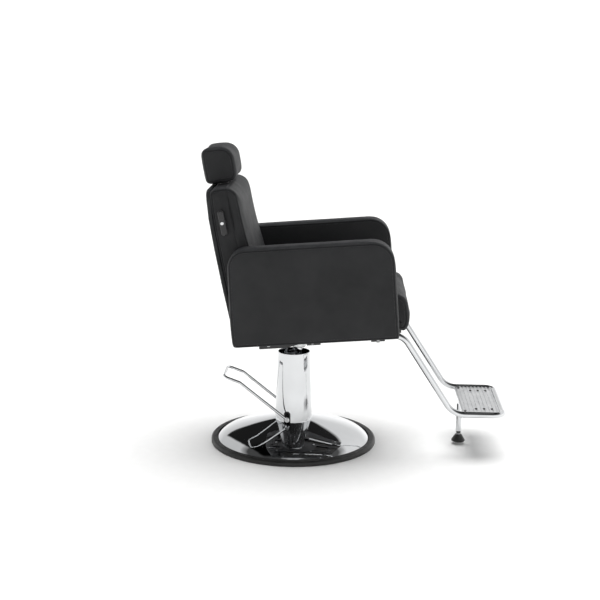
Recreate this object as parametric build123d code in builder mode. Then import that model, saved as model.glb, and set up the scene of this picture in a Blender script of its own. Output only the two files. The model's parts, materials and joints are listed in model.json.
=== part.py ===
"""Hydraulic barber chair: round pump base, tilted upholstered seat, reclining back and footrest."""

from build123d import *
from math import cos, radians, sin, sqrt, tan
import os

# Row frame, in millimetres: +Z up, origin on the floor under the middle of the base.
# The chair faces -Y and the sitter's left is +X.  "Forward" and "up" below are measured along
# and square to the seat, which leans back by SEAT_TILT about the origin's X axis.
SEAT_TILT = 4.53

# base
RIM_R = 302.0
RIM_HEIGHT = 19.0
RIM_INNER_R = 262.0
DOME_R = 278.0
DOME_TOP = 85.0
SHEET = 2.0
SHROUD_BOTTOM_R = 68.0
SHROUD_TOP_R = 58.4
SHROUD_TOP = 339.0

# pump and ram, which stand a little in front of the base's middle
RAM_FORWARD = 17.0
RAM_R = 13.0
RAM_BOTTOM = 75.0
RAM_TOP = 385.0
CYLINDER_R = 24.0
CYLINDER_BORE_R = 17.0
BLOCK_TOP = 58.0
GLAND_BOTTOM = 285.0
GLAND_TOP = 305.0

# pedal
PEDAL_PIVOT_BACK = 20.0
PEDAL_PIVOT_UP = 100.0
PEDAL_KNEE = (192.0, 236.0)
PEDAL_END = (250.0, 257.0)
PEDAL_HALF_WIDTH = 75.0
PEDAL_BAR_R = 5.0
SHAFT_R = 5.0
ROCKER_REACH = 25.0
ROCKER_NOSE_R = 7.0
SLOT_HALF_WIDTH = 12.0
SLOT_TRIM = 3.5
SLOT_TOP = 127.0

# seat frame, in seat coordinates
PLATE_BOTTOM = 398.0
PLATE_TOP = 406.0
RAIL_X = 87.5
RAIL_SIZE = 25.0
RAIL_TOP = PLATE_TOP + RAIL_SIZE
BOARD_BOTTOM = 436.0
BOARD_TOP = 451.0
CUSHION_TOP = 572.0
CUSHION_FRONT = 443.0
CUSHION_REAR = -38.0
CROSS_BARS = ((-62.0, -22.0), (85.0, 133.0), (309.0, 357.0))

# arms
ARM_OUTER_X = 310.0
ARM_INNER_X = 228.0
ARM_MIDDLE_X = (ARM_OUTER_X + ARM_INNER_X) / 2
ARM_REAR = -164.0
ARM_FRONT = 404.5
ARM_BOTTOM = 436.0
ARM_TOP = 772.0

# back
BACK_HALF_WIDTH = 224.0
PIVOT = (-108.0, 505.0)
BACK_END_R = 63.0
PANEL_THICKNESS = 14.0
TUBE_R = 16.0
LEVER_ANGLE = 19.0
LEVER_PIN_UP = 420.0
PIN_R = 8.0
HANDLE_AT = (-169.0, 858.0)

# headrest
POST_X = 60.0
POST_R = 6.0
POST_LEAN = 5.0
POST_AT = (-178.0, 1048.0)
HEADREST_HALF_WIDTH = 110.0
HEADREST_CORE_WIDTH = 170.0

# footrest: the tubes start under the seat and step down to level coordinates at the low bend
FOOT_TUBE_X = 177.0
FOOT_TUBE_R = 11.0
FOOT_TUBE_UP = 418.0
FOOT_TUBE_REAR, FOOT_BEND = 40.0, 420.0
FOOT_LOW_BEND = (571.0, 165.6)
FOOT_FRONT = 747.0
FOOT_CORNER_R = 36.0
LEG_FORWARD = 608.0
LEG_BOTTOM = 50.0
FLOOR_GAP = 11.0
RUN = 0.05  # running clearance on a radius


def seat_to_row(forward, up, x=0.0):
    """Row-frame point of a point given in seat coordinates."""
    a = radians(SEAT_TILT)
    return (x, -forward * cos(a) + up * sin(a), forward * sin(a) + up * cos(a))


def side_plane(x=0.0):
    """Seat coordinates on a plane at this X: local x forward, local y up, facing -X."""
    a = radians(SEAT_TILT)
    return Plane(origin=(x, 0, 0), x_dir=(0, -cos(a), sin(a)), z_dir=(-1, 0, 0))


def level_side_plane(x=0.0):
    """The same for level coordinates: local x forward, local y straight up."""
    return Plane(origin=(x, 0, 0), x_dir=(0, -1, 0), z_dir=(-1, 0, 0))


def seat_plane(up, forward=0.0):
    """Plane parallel to the seat at this height: local x is X, local y points back."""
    a = radians(SEAT_TILT)
    return Plane(origin=seat_to_row(forward, up), x_dir=(1, 0, 0), z_dir=(0, sin(a), cos(a)))


def front_plane(lean=0.0, at=(0.0, 0.0)):
    """Plane that faces forward through a seat point: local x is X, local y up."""
    a = radians(SEAT_TILT + lean)
    return Plane(origin=seat_to_row(*at), x_dir=(1, 0, 0), z_dir=(0, -cos(a), sin(a)))


def keep(builder, name):
    """Label a finished piece and write its STEP file."""
    builder.part.label = name
    export_step(builder.part, f"parts/{name}.step")


# ---------------------------------------------------------------- base


def base_rim():
    """Rubber ring the chair stands on, with a ledge that holds the dome's edge."""
    with BuildPart() as rim:
        with BuildSketch(Plane.XZ):
            with BuildLine():
                Polyline((RIM_INNER_R, 0), (RIM_R - 2, 0), (RIM_R, 2), (RIM_R, RIM_HEIGHT - 9))
                RadiusArc((RIM_R, RIM_HEIGHT - 9), (RIM_R - 9, RIM_HEIGHT), -9)
                Polyline((RIM_R - 9, RIM_HEIGHT), (DOME_R + 2, RIM_HEIGHT), (DOME_R + 2, 14),
                         (RIM_INNER_R, 14), (RIM_INNER_R, 0))
            make_face()
        revolve(axis=Axis.Z)
    keep(rim, "base_rim")


def base_plate():
    """Steel disc inside the ring that carries the pump."""
    with BuildPart() as plate:
        with BuildSketch(Plane.XY.offset(2)):
            Circle(RIM_INNER_R - 0.5)
        extrude(amount=8)
        with Locations((0, -RAM_FORWARD, 10)):
            with GridLocations(64, 70, 2, 2):
                Hole(radius=4.2)
    keep(plate, "base_plate")


def base_dome():
    """Spun sheet cover that steepens from the foot of the shroud down to the rubber ring."""
    skin = [(DOME_R, 16.0), (267.0, 25.0), (250.0, 35.5), (225.0, 46.0), (190.0, 57.0),
            (150.0, 67.5), (110.0, 76.5), (SHROUD_BOTTOM_R, DOME_TOP)]
    inner = [(r, z - SHEET) for r, z in reversed(skin)]
    with BuildPart() as dome:
        with BuildSketch(Plane.XZ):
            with BuildLine():
                Spline(*skin)
                Polyline(skin[-1], (60.0, DOME_TOP), (60.0, DOME_TOP - SHEET), inner[0])
                Spline(*inner)
                Line(inner[-1], skin[0])
            make_face()
        revolve(axis=Axis.Z)
    keep(dome, "base_dome")


def shroud_radius(z):
    """Outer radius of the tapered shroud at a height."""
    t = (z - DOME_TOP) / (SHROUD_TOP - DOME_TOP)
    return SHROUD_BOTTOM_R + (SHROUD_TOP_R - SHROUD_BOTTOM_R) * t


def slot_outline(half_width, top):
    """Inverted U seen from the side, open at the shroud's lower edge."""
    with BuildSketch(level_side_plane(100)) as outline:
        with Locations((-PEDAL_PIVOT_BACK, top - half_width)):
            Circle(half_width)
        with Locations((-PEDAL_PIVOT_BACK, (top - half_width + DOME_TOP) / 2)):
            Rectangle(2 * half_width, top - half_width - DOME_TOP + 0.4)
    return outline.sketch


def shroud_skin(outer_extra, thickness):
    """Half section of a tapered sleeve around the shroud's wall."""
    r0 = shroud_radius(DOME_TOP) + outer_extra
    r1 = shroud_radius(SHROUD_TOP) + outer_extra
    return ((r0, DOME_TOP + 0.2), (r1, SHROUD_TOP), (r1 - thickness, SHROUD_TOP),
            (r0 - thickness, DOME_TOP + 0.2))


def column_shroud():
    """Tapered chrome tube around the pump, open on top, with a pedal slot on each side."""
    with BuildPart() as shroud:
        with BuildSketch(Plane.XZ):
            with BuildLine():
                Polyline(*shroud_skin(0, SHEET), close=True)
            make_face()
        revolve(axis=Axis.Z)
        with BuildSketch(Plane.XY.offset(SHROUD_TOP - 3)):
            Circle(SHROUD_TOP_R + 1.2)
            Circle(SHROUD_TOP_R - SHEET, mode=Mode.SUBTRACT)
        extrude(amount=3)
        extrude(slot_outline(SLOT_HALF_WIDTH, SLOT_TOP), amount=200, mode=Mode.SUBTRACT)
    keep(shroud, "column_shroud")


def slot_edging():
    """Black trim that lines the rim of each pedal slot."""
    with BuildPart() as trim:
        with BuildSketch(Plane.XZ):
            with BuildLine():
                Polyline(*shroud_skin(1.0, SHEET + 2), close=True)
            make_face()
        revolve(axis=Axis.Z)
        extrude(slot_outline(SLOT_HALF_WIDTH - 0.1, SLOT_TOP - 0.1), amount=200, mode=Mode.INTERSECT)
        opening = slot_outline(SLOT_HALF_WIDTH - SLOT_TRIM, SLOT_TOP - SLOT_TRIM)
        extrude(opening, amount=200, mode=Mode.SUBTRACT)
    keep(trim, "slot_edging")


# ---------------------------------------------------------------- pump


def ram_plane(z):
    """Level plane centred on the ram."""
    return Plane(origin=(0, -RAM_FORWARD, z), x_dir=(1, 0, 0), z_dir=(0, 0, 1))


def plunger_plane(z):
    """Level plane centred on the pump's plunger."""
    return Plane(origin=(0, PEDAL_PIVOT_BACK + ROCKER_REACH, z), x_dir=(1, 0, 0), z_dir=(0, 0, 1))


def pump_block():
    """Cast block with the plunger's bore, the cylinder's seat and two lugs for the pedal shaft."""
    lug_inner, lug_outer = 24.5, 36.5
    with BuildPart() as block:
        with BuildSketch(Plane.XY.offset(10)):
            RectangleRounded(92, 118, 14)
        extrude(amount=BLOCK_TOP - 10)
        with BuildSketch(plunger_plane(BLOCK_TOP)):
            Circle(13)
        extrude(amount=6)
        with BuildSketch(ram_plane(BLOCK_TOP - 8)):
            Circle(CYLINDER_R + RUN)
        extrude(amount=20, mode=Mode.SUBTRACT)
        with BuildSketch(plunger_plane(15)):
            Circle(6 + RUN)
        extrude(amount=60, mode=Mode.SUBTRACT)
        with BuildSketch(level_side_plane(lug_outer)):
            with Locations((-PEDAL_PIVOT_BACK, PEDAL_PIVOT_UP)):
                Circle(13)
            with Locations((-PEDAL_PIVOT_BACK, (PEDAL_PIVOT_UP + BLOCK_TOP) / 2 - 1)):
                Rectangle(26, PEDAL_PIVOT_UP - BLOCK_TOP + 2)
        extrude(amount=2 * lug_outer)
        with BuildSketch(ram_plane(BLOCK_TOP)):
            with Locations((0, RAM_FORWARD + PEDAL_PIVOT_BACK)):
                Rectangle(2 * lug_inner, 60)
            Circle(CYLINDER_R + RUN)
        extrude(amount=70, mode=Mode.SUBTRACT)
        with BuildSketch(plunger_plane(BLOCK_TOP)):
            Circle(13)
            Circle(6 + RUN, mode=Mode.SUBTRACT)
        extrude(amount=6)
        with BuildSketch(level_side_plane(60)):
            with Locations((-PEDAL_PIVOT_BACK, PEDAL_PIVOT_UP)):
                Circle(SHAFT_R + 3)
        extrude(amount=120, mode=Mode.SUBTRACT)
    keep(block, "pump_block")


def pump_bolts():
    """Four bolts up through the base plate into the block."""
    with BuildPart() as bolts:
        with BuildSketch(Plane.XY.offset(2.2)):
            with Locations((0, -RAM_FORWARD)):
                with GridLocations(64, 70, 2, 2):
                    Circle(4)
        extrude(amount=7.7)
    keep(bolts, "pump_bolts")


def pump_cylinder():
    """Steel cylinder in which the ram's piston runs."""
    with BuildPart() as cylinder:
        with BuildSketch(ram_plane(BLOCK_TOP - 8)):
            Circle(CYLINDER_R)
        extrude(amount=GLAND_BOTTOM - BLOCK_TOP + 8)
        with BuildSketch(ram_plane(BLOCK_TOP)):
            Circle(CYLINDER_BORE_R)
        extrude(amount=GLAND_BOTTOM - BLOCK_TOP, mode=Mode.SUBTRACT)
    keep(cylinder, "pump_cylinder")


def oil_reservoir():
    """Tank around the upper part of the cylinder."""
    bottom = 130.0
    with BuildPart() as tank:
        with BuildSketch(ram_plane(bottom)):
            Circle(36)
            Circle(CYLINDER_R + RUN, mode=Mode.SUBTRACT)
        extrude(amount=GLAND_BOTTOM - bottom)
        with BuildSketch(ram_plane(bottom + 5)):
            Circle(34)
            Circle(CYLINDER_R, mode=Mode.SUBTRACT)
        extrude(amount=GLAND_BOTTOM - bottom, mode=Mode.SUBTRACT)
    keep(tank, "oil_reservoir")


def pump_gland():
    """Cap that closes the cylinder and the tank and guides the ram."""
    with BuildPart() as gland:
        with BuildSketch(ram_plane(GLAND_BOTTOM)):
            Circle(38)
        extrude(amount=GLAND_TOP - GLAND_BOTTOM)
        chamfer(gland.faces().sort_by(Axis.Z)[-1].edges(), 3)
        with BuildSketch(ram_plane(GLAND_BOTTOM)):
            Circle(RAM_R + RUN)
        extrude(amount=40, mode=Mode.SUBTRACT)
        with BuildSketch(ram_plane(GLAND_TOP - 6)):
            Circle(RAM_R + 5)
        extrude(amount=20, mode=Mode.SUBTRACT)
    keep(gland, "pump_gland")


def ram_wiper():
    """Lip seal in the gland's counterbore."""
    with BuildPart() as wiper:
        with BuildSketch(ram_plane(GLAND_TOP - 6)):
            Circle(RAM_R + 4.9)
            Circle(RAM_R + RUN, mode=Mode.SUBTRACT)
        extrude(amount=8)
    keep(wiper, "ram_wiper")


def shaft_bushes():
    """Bronze bushes in the block's lugs."""
    with BuildPart() as bushes:
        for x in (36.5, -24.5):
            with BuildSketch(level_side_plane(x)):
                with Locations((-PEDAL_PIVOT_BACK, PEDAL_PIVOT_UP)):
                    Circle(SHAFT_R + 3)
                    Circle(SHAFT_R + RUN, mode=Mode.SUBTRACT)
            extrude(amount=12)
    keep(bushes, "shaft_bushes")


def pump_plunger():
    """Plunger with the collar that the rocker presses; its top stands just below the nose."""
    top = PEDAL_PIVOT_UP - ROCKER_NOSE_R - 0.1
    with BuildPart() as plunger:
        with BuildSketch(plunger_plane(30)):
            Circle(6)
        extrude(amount=top - 30)
        with BuildSketch(plunger_plane(top - 6)):
            Circle(10)
        extrude(amount=6)
    keep(plunger, "pump_plunger")


def plunger_spring():
    """Coil spring that lifts the plunger and the pedal."""
    bottom = BLOCK_TOP + 6.0
    height = PEDAL_PIVOT_UP - ROCKER_NOSE_R - 6.1 - bottom
    with BuildPart() as spring:
        with BuildLine(plunger_plane(bottom + 1.0)) as coil:
            Helix(pitch=(height - 2.0) / 3.5, height=height - 2.0, radius=8.4)
        with BuildSketch(Plane(origin=coil.line @ 0, z_dir=coil.line % 0)):
            Circle(0.9)
        sweep(path=coil.line)
    keep(spring, "plunger_spring")


# ---------------------------------------------------------------- pedal


def pedal_loop():
    """Round bar bent into a U around the shroud, with an eye on each end."""
    x = PEDAL_HALF_WIDTH
    eye_half = 5.5
    points = [
        (x, PEDAL_PIVOT_BACK, PEDAL_PIVOT_UP),
        (x, *PEDAL_KNEE),
        (x, *PEDAL_END),
        (-x, *PEDAL_END),
        (-x, *PEDAL_KNEE),
        (-x, PEDAL_PIVOT_BACK, PEDAL_PIVOT_UP),
    ]
    with BuildPart() as loop:
        with BuildLine() as path:
            FilletPolyline(*points, radius=20)
        with BuildSketch(Plane(origin=path.line @ 0, z_dir=path.line % 0)):
            Circle(PEDAL_BAR_R)
        sweep(path=path.line)
        for side in (x + eye_half, -x + eye_half):
            with BuildSketch(level_side_plane(side)):
                with Locations((-PEDAL_PIVOT_BACK, PEDAL_PIVOT_UP)):
                    Circle(9)
            extrude(amount=2 * eye_half)
        with BuildSketch(level_side_plane(x + 20)):
            with Locations((-PEDAL_PIVOT_BACK, PEDAL_PIVOT_UP)):
                Circle(SHAFT_R)
        extrude(amount=2 * x + 40, mode=Mode.SUBTRACT)
    keep(loop, "pedal_loop")


def pedal_shaft():
    """Shaft through the lugs and both slots, tapped at each end."""
    length = 2 * (PEDAL_HALF_WIDTH + 5.5)
    with BuildPart() as shaft:
        with BuildSketch(level_side_plane(length / 2)):
            with Locations((-PEDAL_PIVOT_BACK, PEDAL_PIVOT_UP)):
                Circle(SHAFT_R)
        extrude(amount=length)
        for x in (length / 2, -length / 2 + 14):
            with BuildSketch(level_side_plane(x)):
                with Locations((-PEDAL_PIVOT_BACK, PEDAL_PIVOT_UP)):
                    Circle(2.5)
            extrude(amount=14, mode=Mode.SUBTRACT)
    keep(shaft, "pedal_shaft")


def pedal_bolts():
    """Socket-head bolts that hold the eyes on the shaft."""
    end = PEDAL_HALF_WIDTH + 5.5
    with BuildPart() as bolts:
        for side in (1, -1):
            plane = Plane(origin=(side * end, PEDAL_PIVOT_BACK, PEDAL_PIVOT_UP), z_dir=(side, 0, 0))
            with BuildSketch(plane):
                Circle(6.5)
            extrude(amount=4.5)
            with BuildSketch(plane.offset(4.5)):
                RegularPolygon(3, 6)
            extrude(amount=-3, mode=Mode.SUBTRACT)
            with BuildSketch(plane):
                Circle(2.45)
            extrude(amount=-13)
    keep(bolts, "pedal_bolts")


def pump_rocker():
    """Lever keyed on the shaft whose nose pushes the plunger down."""
    with BuildPart() as rocker:
        with BuildSketch(level_side_plane(9)):
            with BuildLine():
                Polyline(
                    (-PEDAL_PIVOT_BACK, PEDAL_PIVOT_UP + 7),
                    (-PEDAL_PIVOT_BACK - ROCKER_REACH, PEDAL_PIVOT_UP + 5),
                    (-PEDAL_PIVOT_BACK - ROCKER_REACH, PEDAL_PIVOT_UP - 3),
                    (-PEDAL_PIVOT_BACK, PEDAL_PIVOT_UP - 7),
                    close=True,
                )
            make_face()
            with Locations((-PEDAL_PIVOT_BACK, PEDAL_PIVOT_UP)):
                Circle(10)
            with Locations((-PEDAL_PIVOT_BACK - ROCKER_REACH, PEDAL_PIVOT_UP)):
                Circle(ROCKER_NOSE_R)
            with Locations((-PEDAL_PIVOT_BACK, PEDAL_PIVOT_UP)):
                Circle(SHAFT_R, mode=Mode.SUBTRACT)
        extrude(amount=18)
    keep(rocker, "pump_rocker")


# ---------------------------------------------------------------- ram


def ram():
    """Chrome rod that lifts and turns the seat."""
    with BuildPart() as rod:
        with BuildSketch(ram_plane(RAM_BOTTOM)):
            Circle(RAM_R)
        extrude(amount=RAM_TOP - RAM_BOTTOM)
        chamfer(rod.faces().sort_by(Axis.Z)[-1].edges(), 1.5)
        with BuildSketch(ram_plane(RAM_BOTTOM)):
            Circle(RAM_R)
            Circle(RAM_R - 3, mode=Mode.SUBTRACT)
        extrude(amount=20, mode=Mode.SUBTRACT)
    keep(rod, "ram")


def ram_piston():
    """Piston on the ram's lower spigot, grooved for its seal."""
    with BuildPart() as piston:
        with BuildSketch(ram_plane(RAM_BOTTOM)):
            Circle(CYLINDER_BORE_R - RUN)
            Circle(RAM_R - 3, mode=Mode.SUBTRACT)
        extrude(amount=20)
        with BuildSketch(ram_plane(RAM_BOTTOM + 8)):
            Circle(CYLINDER_BORE_R + 1)
            Circle(CYLINDER_BORE_R - 3, mode=Mode.SUBTRACT)
        extrude(amount=5, mode=Mode.SUBTRACT)
    keep(piston, "ram_piston")


def piston_seal():
    """Ring in the piston's groove."""
    with BuildPart() as seal:
        with BuildSketch(ram_plane(RAM_BOTTOM + 8.1)):
            Circle(CYLINDER_BORE_R - RUN)
            Circle(CYLINDER_BORE_R - 3, mode=Mode.SUBTRACT)
        extrude(amount=4.8)
    keep(seal, "piston_seal")


# ---------------------------------------------------------------- seat frame


def swivel_socket():
    """Upright socket that sits on the ram, cut to the seat's tilt on top."""
    bottom = 358.0
    with BuildPart() as socket:
        with BuildSketch(ram_plane(bottom)):
            Circle(27)
        extrude(amount=26)
        with BuildSketch(ram_plane(bottom + 26)):
            Circle(27)
        with BuildSketch(ram_plane(bottom + 50)):
            Circle(40)
        loft()
        split(bisect_by=seat_plane(PLATE_BOTTOM), keep=Keep.BOTTOM)
        with BuildSketch(ram_plane(bottom)):
            Circle(RAM_R + RUN)
        extrude(amount=RAM_TOP + 6 - bottom, mode=Mode.SUBTRACT)
        chamfer(socket.faces().sort_by(Axis.Z)[0].edges().sort_by(SortBy.LENGTH)[-1], 3)
    keep(socket, "swivel_socket")


def swivel_bearing():
    """Thrust disc between the ram's top and the socket."""
    with BuildPart() as disc:
        with BuildSketch(ram_plane(RAM_TOP)):
            Circle(RAM_R - 0.2)
        extrude(amount=6)
    keep(disc, "swivel_bearing")


PLATE_REAR, PLATE_FRONT, PLATE_HALF_WIDTH = -102.0, 190.0, 110.0
PLATE_BOLTS = ((-80.0, RAIL_X), (-80.0, -RAIL_X), (165.0, RAIL_X), (165.0, -RAIL_X))


def seat_mount_plate():
    """Pressed plate under the rails, notched for the recline lever, with deep rear flanges."""
    with BuildPart() as plate:
        with BuildSketch(seat_plane(PLATE_BOTTOM)):
            with Locations((0, -(PLATE_FRONT + PLATE_REAR) / 2)):
                RectangleRounded(2 * PLATE_HALF_WIDTH, PLATE_FRONT - PLATE_REAR, 12)
            with Locations((0, 85)):
                Rectangle(26, 60, mode=Mode.SUBTRACT)
            for forward, x in PLATE_BOLTS:
                with Locations((x, -forward)):
                    Circle(4.2, mode=Mode.SUBTRACT)
        extrude(amount=PLATE_TOP - PLATE_BOTTOM)
        for x in (PLATE_HALF_WIDTH, -PLATE_HALF_WIDTH + 6):
            with BuildSketch(side_plane(x)):
                with BuildLine():
                    Polyline((-90, PLATE_BOTTOM + 1), (-90, 378), (8, 378), (60, 390),
                             (150, PLATE_BOTTOM + 1), close=True)
                make_face()
            extrude(amount=6)
    keep(plate, "seat_mount_plate")


def seat_rails():
    """Two square tubes that run fore and aft on the mounting plate."""
    rear, front = -128.0, 395.0
    with BuildPart() as rails:
        with BuildSketch(front_plane(at=(rear, PLATE_TOP + RAIL_SIZE / 2))):
            with Locations((RAIL_X, 0), (-RAIL_X, 0)):
                Rectangle(RAIL_SIZE, RAIL_SIZE)
                Rectangle(RAIL_SIZE - 5, RAIL_SIZE - 5, mode=Mode.SUBTRACT)
        extrude(amount=front - rear)
    keep(rails, "seat_rails")


def cross_bars():
    """Three flat bars across the rails that carry the seat board and the arms."""
    with BuildPart() as bars:
        for rear, front in CROSS_BARS:
            with BuildSketch(seat_plane(RAIL_TOP)):
                with Locations((0, -(rear + front) / 2)):
                    RectangleRounded(574, front - rear, 6)
                    with GridLocations(2 * ARM_MIDDLE_X, 1, 2, 1):
                        Circle(3.2, mode=Mode.SUBTRACT)
            extrude(amount=BOARD_BOTTOM - RAIL_TOP)
    keep(bars, "cross_bars")


def seat_board():
    """Plywood panel under the cushion."""
    with BuildPart() as board:
        with BuildSketch(seat_plane(BOARD_BOTTOM)):
            with Locations((0, -(415 + CUSHION_REAR) / 2)):
                RectangleRounded(450, 415 - CUSHION_REAR, 10)
        extrude(amount=BOARD_TOP - BOARD_BOTTOM)
    keep(board, "seat_board")


def seat_cushion():
    """Boxed cushion with a waterfall front that hangs over the board's edge."""
    with BuildPart() as cushion:
        with BuildSketch(side_plane(225)):
            with BuildLine():
                Polyline((CUSHION_REAR, CUSHION_TOP - 8), (CUSHION_REAR, BOARD_TOP + 0.2),
                         (415.5, BOARD_TOP + 0.2), (415.5, 438), (430, 438))
                Spline((430, 438), (438, 452), (CUSHION_FRONT, 505), (439.5, 540), (430, 557),
                       (406, CUSHION_TOP), tangents=((1, 0.6), (-1, 0.1)))
                Line((406, CUSHION_TOP), (CUSHION_REAR + 8, CUSHION_TOP))
                Line((CUSHION_REAR + 8, CUSHION_TOP), (CUSHION_REAR, CUSHION_TOP - 8))
            make_face()
        extrude(amount=450)
        with BuildSketch(seat_plane(430)):
            with Locations((0, -(CUSHION_FRONT + CUSHION_REAR) / 2)):
                RectangleRounded(450, CUSHION_FRONT - CUSHION_REAR + 2, 16)
        extrude(amount=200, mode=Mode.INTERSECT)
    keep(cushion, "seat_cushion")


# ---------------------------------------------------------------- arms


def arm_pad(side, name):
    """Upholstered arm with a pocket for its wooden core and a seat for the hinge plate."""
    inner, outer = ARM_INNER_X, ARM_OUTER_X
    plane = side_plane(max(side * inner, side * outer))
    with BuildPart() as pad:
        with BuildSketch(plane):
            with BuildLine():
                FilletPolyline(
                    (ARM_FRONT, ARM_BOTTOM), (ARM_FRONT, ARM_TOP), (ARM_REAR + 8, ARM_TOP),
                    (ARM_REAR, ARM_BOTTOM + 90), (ARM_REAR + 2, ARM_BOTTOM),
                    radius=(10, 74, 60, 30, 10), close=True,
                )
            make_face()
        extrude(amount=outer - inner)
        fillet(pad.faces().filter_by(Axis.X).edges(), 7)
        with BuildSketch(side_plane(side * ARM_MIDDLE_X + 9.2)):
            with BuildLine():
                Polyline((-125, ARM_BOTTOM - 1), (365, ARM_BOTTOM - 1), (365, 690.2), (-125, 690.2),
                         close=True)
            make_face()
        extrude(amount=18.4, mode=Mode.SUBTRACT)
        with BuildSketch(side_plane(side * (inner + 1) + 2.1)):
            with Locations(PIVOT):
                Rectangle(64.4, 64.4)
        extrude(amount=4.2, mode=Mode.SUBTRACT)
    keep(pad, name)


def arm_core(side, name):
    """Plywood panel inside the arm, bolted to the cross bars from below."""
    with BuildPart() as core:
        with BuildSketch(side_plane(side * ARM_MIDDLE_X + 9)):
            with BuildLine():
                Polyline((-124.8, ARM_BOTTOM), (364.8, ARM_BOTTOM), (364.8, 690), (-124.8, 690),
                         close=True)
            make_face()
        extrude(amount=18)
        for rear, front in CROSS_BARS:
            with BuildSketch(seat_plane(ARM_BOTTOM)):
                with Locations((side * ARM_MIDDLE_X, -(rear + front) / 2)):
                    Circle(3.1)
            extrude(amount=40, mode=Mode.SUBTRACT)
    keep(core, name)


def frame_bolts():
    """Bolts of the seat frame: plate to rails, and cross bars to arm cores."""
    with BuildPart() as bolts:
        for forward, x in PLATE_BOLTS:
            with BuildSketch(seat_plane(PLATE_BOTTOM - 6)):
                with Locations((x, -forward)):
                    RegularPolygon(7, 6)
            extrude(amount=5.9)
            with BuildSketch(seat_plane(PLATE_BOTTOM - 1)):
                with Locations((x, -forward)):
                    Circle(4)
            extrude(amount=PLATE_TOP - PLATE_BOTTOM + 0.9)
        for rear, front in CROSS_BARS:
            spots = Locations((ARM_MIDDLE_X, -(rear + front) / 2), (-ARM_MIDDLE_X, -(rear + front) / 2))
            with BuildSketch(seat_plane(RAIL_TOP - 5)):
                with spots:
                    RegularPolygon(5.5, 6)
            extrude(amount=4.9)
            with BuildSketch(seat_plane(RAIL_TOP - 1)):
                with spots:
                    Circle(3)
            extrude(amount=42)
    keep(bolts, "frame_bolts")


def hinge_plate(side, name):
    """Plate let into the arm with the pin on which the back turns."""
    face = ARM_INNER_X + 3.0
    with BuildPart() as hinge:
        with BuildSketch(side_plane(max(side * face, side * (face - 3)))):
            with Locations(PIVOT):
                RectangleRounded(64, 64, 8)
        extrude(amount=3)
        with BuildSketch(side_plane(max(side * face, side * 193))):
            with Locations(PIVOT):
                Circle(PIN_R)
        extrude(amount=face - 193)
    keep(hinge, name)


# ---------------------------------------------------------------- recline lock

LEVER_REACH = (PIVOT[1] - LEVER_PIN_UP) / cos(radians(LEVER_ANGLE))
PIN_REST_FORWARD = PIVOT[0] - (PIVOT[1] - LEVER_PIN_UP) * tan(radians(LEVER_ANGLE))
LOCK_REAR, LOCK_FRONT = -52.0, 150.0


def lock_cylinder():
    """Lockable gas cylinder that holds the back's angle."""
    with BuildPart() as cylinder:
        with BuildSketch(front_plane(at=(LOCK_REAR, LEVER_PIN_UP))):
            Circle(10)
        extrude(amount=LOCK_FRONT - LOCK_REAR)
        with BuildSketch(front_plane(at=(LOCK_REAR, LEVER_PIN_UP))):
            Circle(4 + RUN)
        extrude(amount=115, mode=Mode.SUBTRACT)
    keep(cylinder, "lock_cylinder")


def cylinder_saddles():
    """Blocks that hang the lock cylinder under the rear and middle cross bars."""
    with BuildPart() as saddles:
        for rear, front in CROSS_BARS[:2]:
            with BuildSketch(front_plane(at=((rear + front) / 2 - 8, LEVER_PIN_UP))):
                with Locations((0, (RAIL_TOP - LEVER_PIN_UP) / 2 - 6)):
                    Rectangle(36, RAIL_TOP - LEVER_PIN_UP + 11.8)
                Circle(10 + RUN, mode=Mode.SUBTRACT)
            extrude(amount=16)
    keep(saddles, "cylinder_saddles")


def lock_rod():
    """Rod with a fork and pin that rides in the lever's slot."""
    web, fork_front = 17.5, 24.0
    with BuildPart() as rod:
        with BuildSketch(front_plane(at=(PIN_REST_FORWARD + web, LEVER_PIN_UP))):
            Circle(4)
        extrude(amount=LOCK_REAR + 32 - PIN_REST_FORWARD - web)
        with BuildSketch(side_plane(8)):
            with Locations((PIN_REST_FORWARD + (fork_front - 9) / 2, LEVER_PIN_UP)):
                RectangleRounded(fork_front + 9, 15, 4)
        extrude(amount=16)
        with BuildSketch(side_plane(3.4)):
            with Locations((PIN_REST_FORWARD + web - 20, LEVER_PIN_UP)):
                Rectangle(40, 20)
        extrude(amount=6.8, mode=Mode.SUBTRACT)
        with BuildSketch(side_plane(8)):
            with Locations((PIN_REST_FORWARD, LEVER_PIN_UP)):
                Circle(4)
        extrude(amount=16)
    keep(rod, "lock_rod")


# ---------------------------------------------------------------- back


REAR_EDGE = ((-171.0, 512.0), (-189.0, 636.0), (-205.0, 763.0), (-216.0, 870.0), (-218.5, 957.0))
FRONT_EDGE = ((-113.0, 964.0), (-105.0, 896.0), (-90.0, 806.0), (-70.0, 715.0), (-52.0, 620.0),
              (-45.0, PIVOT[1]))


def shifted(points, forward):
    """The same curve moved forward."""
    return [(f + forward, u) for f, u in points]


def back_front_view(inset=0.0):
    """Front view of the back: square below, round top corners."""
    half = BACK_HALF_WIDTH - inset
    with BuildSketch(front_plane(at=(-400.0, 0.0))) as view:
        with Locations((0, 700)):
            Rectangle(2 * half, 576)
        corners = view.vertices().group_by(Axis.Y)[-1]
        fillet(corners, 42)
    return view.sketch


def back_panel():
    """Upholstered board that closes the rear of the back."""
    inner = shifted(REAR_EDGE, PANEL_THICKNESS)
    with BuildPart() as panel:
        with BuildSketch(side_plane(BACK_HALF_WIDTH)):
            with BuildLine():
                Spline(*REAR_EDGE)
                Line(REAR_EDGE[-1], inner[-1])
                Spline(*inner)
                Line(inner[0], REAR_EDGE[0])
            make_face()
        extrude(amount=2 * BACK_HALF_WIDTH)
        extrude(back_front_view(), amount=800, mode=Mode.INTERSECT)
    keep(panel, "back_panel")


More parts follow.
